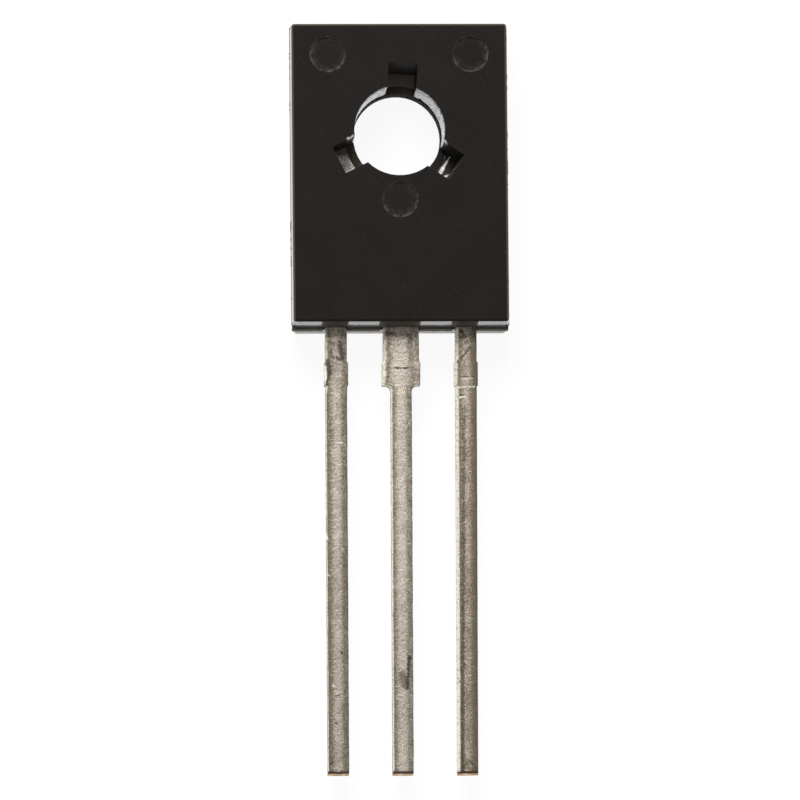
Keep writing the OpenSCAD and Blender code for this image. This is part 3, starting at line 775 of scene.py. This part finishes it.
def plate_rings():
    """Rings of the plate: from the hole over the back, round both steps and over the front.

    Each ring is the round-cornered outline of the back or of the rim, or the hole's circle,
    at one height; next to an edge the outline shrinks towards the plate's middle by the ease.
    """
    bottom = PLATE_TOP - PLATE_H
    face = round_outline(PLATE_W, bottom, PLATE_TOP, PLATE_R, AROUND)
    rim = round_outline(PLATE_W + 2 * RIM_OUT, bottom - RIM_OUT, PLATE_TOP + RIM_OUT,
                        PLATE_R + RIM_OUT, AROUND)
    away = face / np.linalg.norm(face, axis=1, keepdims=True)
    e = PLATE_EASE
    middle = np.array([0, PLATE_TOP - PLATE_H / 2])
    small = middle + (face - middle) * (1 - 2 * e / PLATE_W)
    small_rim = middle + (rim - middle) * (1 - 2 * e / PLATE_W)
    def level(outline, z):
        return np.column_stack([outline, np.full(len(outline), z)])
    return np.stack([
        level(away * PLATE_HOLE_R, e), level(away * (PLATE_HOLE_R + e), 0),
        level(small, 0), level(face, e), level(face, RIM_RISE), level(rim, RIM_RISE),
        level(rim, PLATE_FRONT - e), level(small_rim, PLATE_FRONT),
        level(away * (PLATE_HOLE_R + e), PLATE_FRONT), level(away * PLATE_HOLE_R, PLATE_FRONT - e)])


def middle_lead_keys():
    """Stations of the strap and the middle lead, with quarter circles under the shoulders."""
    shoulder = BODY_BOTTOM - DAM_TO
    keys = [(y, -MID_ROOT_W / 2, MID_ROOT_W / 2, back, front) for y, back, front in STRAP]
    def across(y, half):
        return (y, -half, half, LEAD_BACK, PARTING)
    keys += [across(BODY_BOTTOM - DAM_FROM + DAM_EASE, MID_ROOT_W / 2),
             across(BODY_BOTTOM - DAM_FROM - DAM_EASE, MID_DAM_W / 2),
             across(shoulder, MID_DAM_W / 2)]
    for turn in np.linspace(0, math.pi / 2, SHOULDER_N):
        keys.append(across(shoulder - NOTCH - SHOULDER_R * (1 - math.cos(turn)),
                           MID_W / 2 + SHOULDER_R * (1 - math.sin(turn))))
    keys.append(across(BODY_BOTTOM - LEAD_LEN, MID_TIP_W / 2))
    return keys


collector_rings = slant_tip(strip(fill_in(middle_lead_keys()), seed=13, lean=(0.044, -0.016),
                                  twist=(0.0, 0.0), roll=(0.06, 0.045)))
plate = plate_rings()
collector_mesh = lay_mesh("collector_stamping", shell(plate, closed=True), shell(collector_rings),
                          end_finish=1)
note_width(collector_mesh, collector_rings, first=plate[..., 0].size)
collector = place("collector_stamping", collector_mesh, tinned, cut_end, angle=35)
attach(collector, "root")
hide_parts("collector_frame")


# ==== Mould witness and flash =====================================================
# Epoxy that crept between the mould halves. Along the sides it broke off to a thin
# ragged line; between the leads it was trimmed and left a rough shelf.

WITNESS_T = 0.05                       # thickness of the fin
WITNESS_ROOT = 0.04                    # how deep its root lies in the moulding
WITNESS_MEAN, WITNESS_LEAST = -0.01, -0.01           # how far its tip stands out
WITNESS_RAGGED, WITNESS_SLOW = 0.036, 0.06           # its short and long unevenness
WITNESS_RISE = 0.012                   # how unevenly high it lies
WITNESS_N = 1400                       # points round the moulding
FLASH_OUT = 0.08                       # how far the shelf between the leads stands out
FLASH_BACK = 1.23                      # how far back it reaches
FLASH_ROOT = 0.05                      # how deep its root lies in the moulding
FLASH_STEP = 0.02                      # from one of its sections to the next
FLASH_ROUGH, FLASH_SLOW = 0.006, 0.012               # its fine and long unevenness
FLASH_MEAN, FLASH_LIFT = 0.004, 0.003                # how far it stays back, and lifts
LEDGE_N, HIGH_N = 4, 14                # points over each of its ledges and down its edge
LEAD_GAP = 0.05                        # from a lead to the shelf beside it
FLASH_SHORT = 0.03                     # how far the shelf stops short of the side walls
CORNER_R = 0.16                        # radius of the moulding's upright corners
HALF_W = body_high[0] - WITNESS_OUT


def running_mean(rng, count, over):
    """Normal random numbers, each the mean of as many neighbours, so that they change slowly."""
    return np.convolve(rng.normal(0, 1, count + over - 1), np.ones(over) / over, "valid")


def witness_rings():
    """Thin lens-shaped fin round the moulding; its reach is smooth noise along the outline.

    Five lines run round: two at the root, inside the moulding, and three over the tip, each
    the outline moved along its own outward direction by a share of the reach.
    """
    rng = np.random.default_rng(5)
    line = round_outline(2 * HALF_W, BODY_BOTTOM, body_high[1] - WITNESS_OUT, CORNER_R, WITNESS_N)
    line[:, 0] += np.where(line[:, 0] < -LEFT_WALL, LEFT_SHIFT, 0)
    step = np.roll(line, -1, axis=0) - np.roll(line, 1, axis=0)
    out = np.stack([step[:, 1], -step[:, 0]], -1)
    out /= np.linalg.norm(out, axis=1, keepdims=True)
    ragged = running_mean(rng, WITNESS_N, 9)
    slow = running_mean(rng, WITNESS_N, 61)
    reach = np.clip(WITNESS_MEAN + WITNESS_RAGGED * ragged + WITNESS_SLOW * slow,
                    WITNESS_LEAST, WITNESS_OUT - NEAR)
    rise = WITNESS_RISE * running_mean(rng, WITNESS_N, 9)
    root = np.full(WITNESS_N, -WITNESS_ROOT)
    def at(distance, height):
        return np.column_stack([line + out * distance[:, None],
                                np.broadcast_to(PARTING + height, WITNESS_N)])
    return np.stack([at(root, 0.0), at(root, -WITNESS_T), at(reach * 0.6, -WITNESS_T + rise),
                     at(reach, -WITNESS_T / 2 + rise), at(reach * 0.8, rise)])


def shelf_rings(start, end, seed):
    """Rough shelf between two leads: a rectangle carried along X, its outer points moved by noise.

    The further out a point of the section lies, the more of the noise it takes: the mean of
    three neighbours' random numbers, and a slow one that the whole section shares.
    """
    rng = np.random.default_rng(seed)
    count = max(int((end - start) / FLASH_STEP), 8)
    x = np.linspace(start, end, count)
    high = np.linspace(PARTING, FLASH_BACK, HIGH_N)
    ledge = np.linspace(BODY_BOTTOM + FLASH_ROOT, BODY_BOTTOM - FLASH_OUT, LEDGE_N + 1)[:-1]
    y = np.concatenate([ledge, np.full(HIGH_N, BODY_BOTTOM - FLASH_OUT), ledge[::-1]])
    z = np.concatenate([np.full(LEDGE_N, PARTING), high, np.full(LEDGE_N, FLASH_BACK)])
    outer = np.clip((BODY_BOTTOM - y) / FLASH_OUT, 0, 1)
    rough = rng.normal(0, 1, (count, len(y)))
    rough = (rough + np.roll(rough, 1, 0) + np.roll(rough, 1, 1)) / 3
    slow = running_mean(rng, count, 11)[:, None]
    push = outer * (FLASH_ROUGH * rough - FLASH_MEAN + FLASH_SLOW * slow)
    lift = outer * FLASH_LIFT * rng.normal(0, 1, (count, len(y)))
    return np.stack([np.broadcast_to(x[:, None], push.shape), y - push, z + lift], -1)


# The shelf's four stretches, from side wall to lead, from lead to lead and on to the wall.
STRETCHES = [(-HALF_W + LEFT_SHIFT + FLASH_SHORT, -PITCH - LEAD_W / 2 - LEAD_GAP),
             (-PITCH + LEAD_W / 2 + LEAD_GAP, -MID_ROOT_W / 2 - LEAD_GAP),
             (MID_ROOT_W / 2 + LEAD_GAP, PITCH - LEAD_W / 2 - LEAD_GAP),
             (PITCH + LEAD_W / 2 + LEAD_GAP, HALF_W - FLASH_SHORT)]
shelves = [shelf_rings(*stretch, seed=20 + 2 * i) for i, stretch in enumerate(STRETCHES)]


def flash_finish(name, darker, lighter, filler):
    """Broken epoxy: browner and rougher than the moulded skin, with pale filler grains."""
    f = Finish(name)
    grain = f.noise(0.03, detail=3)
    pale = f.ramp(f.noise(0.045, detail=2), 0.6, 0.72)
    dark = f.blend(f.ramp(grain, 0.35, 0.65), darker, lighter)
    return f.finish(Base_Color=f.blend(pale * 0.4, dark, filler),
                    Roughness=f.ramp(grain, 0.3, 0.7, 0.6, 0.9), Normal=f.bump(grain, 0.01),
                    Specular_IOR_Level=0.3)


witness = place("mould_witness", lay_mesh("mould_witness", shell(witness_rings(), closed=True)),
                flash_finish("witness_epoxy", (0.02, 0.016, 0.013), (0.045, 0.038, 0.03),
                             (0.10, 0.085, 0.068)))
# The shelf's colours are broken epoxy's, painted paler as well: painted light lifting it out of the
# body's shadow.
shelf = place("trimmed_flash", lay_mesh("trimmed_flash", *[shell(r) for r in shelves]),
              flash_finish("trimmed_epoxy", (0.068, 0.057, 0.045), (0.12, 0.104, 0.082),
                           (0.21, 0.18, 0.145)))
for piece in (witness, shelf):
    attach(piece, "root")


# ==== Chip, solder and bond wires =================================================
# Sealed inside the epoxy: a sawn silicon chip soldered to the plate, and two
# aluminium wires pressed onto its pads and onto the outer leads' posts.

def inner_finish(name, first, second, size, metallic, roughness):
    """Two close tones in clouds of a size in millimetres, for a piece that the epoxy hides."""
    f = Finish(name)
    cloud = f.noise(size, detail=3)
    return f.finish(Base_Color=f.blend(f.ramp(cloud, 0.35, 0.65), first, second),
                    Metallic=metallic, Normal=f.bump(cloud, 0.003),
                    Roughness=f.ramp(cloud, 0.3, 0.7, roughness, roughness + 0.12))


INNER_FINISHES = {
    "chip": inner_finish("sawn_silicon", (0.10, 0.11, 0.13), (0.16, 0.17, 0.20), 0.2, 0.6, 0.2),
    "chip_solder": inner_finish("solder", (0.36, 0.36, 0.37), (0.50, 0.50, 0.51), 0.1, 1.0, 0.35),
    "emitter_wire": inner_finish("aluminium_wire", (0.72, 0.72, 0.74), (0.82, 0.82, 0.84), 0.05,
                                 1.0, 0.3),
}
INNER_FINISHES["base_wire"] = INNER_FINISHES["emitter_wire"]
for node, finish in INNER_FINISHES.items():
    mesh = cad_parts[node].data
    mesh.materials.clear()
    mesh.materials.append(finish)


# ==== Floor, light and camera =====================================================
# A white sheet, one broad lamp beyond the body's top end, and a long lens above the
# marked face.

FLOOR_HALF = 400.0                     # half of the sheet's side
FLOOR_DOWN = 0.002                     # so that the sheet and the mounting face don't meet
floor_mesh = bpy.data.meshes.new("floor")
floor_mesh.from_pydata([(x * FLOOR_HALF * MM, y * FLOOR_HALF * MM, -FLOOR_DOWN * MM)
                        for x, y in ((-1, -1), (1, -1), (1, 1), (-1, 1))], [], [(0, 1, 2, 3)])
floor = bpy.data.objects.new("floor", floor_mesh)
bpy.context.scene.collection.objects.link(floor)


def floor_finish():
    """White paper: diffuse, and lifted for the camera and for reflections so it prints white."""
    f = Finish("white_paper")
    path = f.node("LightPath")
    seen = Value(f, path.outputs["Is Camera Ray"]).math("MAXIMUM", path.outputs["Is Glossy Ray"])
    seen = seen.math("MAXIMUM", path.outputs["Is Transmission Ray"])
    paper = f.node("Emission", None, {"Color": (1, 1, 1), "Strength": 0.92})
    shaded = f.node("BsdfDiffuse", None, {"Color": (0.1, 0.1, 0.1)})
    both = f.node("AddShader", None, {0: paper.outputs[0], 1: shaded.outputs[0]})
    mixed = f.node("MixShader", None, {0: seen, 1: f.shader.outputs[0], 2: both.outputs[0]})
    f.feed(f.tree.nodes["Material Output"].inputs["Surface"], mixed.outputs[0])
    return f.finish(Base_Color=(0.8, 0.8, 0.8), Roughness=1.0, Specular_IOR_Level=0.0)


floor_mesh.materials.append(floor_finish())

scene = bpy.context.scene
scene.view_settings.view_transform = "Standard"

# The sky is white low down and dimmer overhead.
scene.world = bpy.data.worlds.new("studio")
sky = Finish("studio", scene.world)
up_part = sky.node("SeparateXYZ", None, {"Vector": sky.node("TexCoord").outputs["Generated"]})
sky.finish(Color=(1, 1, 1), Strength=sky.ramp(up_part.outputs["Z"], 0.25, 0.7, 1.0, 0.22))

LAMP_AT, LAMP_AIM = Vector((-25, 105, 150)), Vector((0, -6, 0))
LAMP_SIDE, LAMP_WATTS = 90, 0.32
lamp_data = bpy.data.lights.new("broad_lamp", "AREA")
lamp_data.shape, lamp_data.size, lamp_data.energy = "SQUARE", LAMP_SIDE * MM, LAMP_WATTS
lamp = bpy.data.objects.new("broad_lamp", lamp_data)
lamp.location = LAMP_AT * MM
lamp.rotation_euler = (LAMP_AIM - LAMP_AT).to_track_quat("-Z", "Y").to_euler()
scene.collection.objects.link(lamp)

# The camera stands above the target, tipped a little towards the leads' end and to the
# left, and is rolled about its own line of sight.
VIEW_TARGET = Vector((-0.011, -9.459, 1.5))
VIEW_DISTANCE, LENS = 700.0, 892.0
VIEW_BELOW, VIEW_LEFT, VIEW_ROLL = (math.radians(a) for a in (7.295, 2.946, -0.504))
camera_data = bpy.data.cameras.new("camera")
camera_data.lens = LENS
camera_data.clip_start, camera_data.clip_end = 0.01, 10.0
camera = bpy.data.objects.new("camera", camera_data)
scene.collection.objects.link(camera)
away = Vector((-math.sin(VIEW_LEFT), -math.sin(VIEW_BELOW) * math.cos(VIEW_LEFT),
               math.cos(VIEW_BELOW) * math.cos(VIEW_LEFT)))
right = (-away).cross(Vector((0, 1, 0))).normalized()
up = right.cross(-away)
rolled_right = right * math.cos(VIEW_ROLL) + up * math.sin(VIEW_ROLL)
rolled_up = up * math.cos(VIEW_ROLL) - right * math.sin(VIEW_ROLL)
turned = Matrix((rolled_right, rolled_up, away)).transposed().to_4x4()
camera.matrix_world = Matrix.Translation((VIEW_TARGET + away * VIEW_DISTANCE) * MM) @ turned
scene.camera = camera
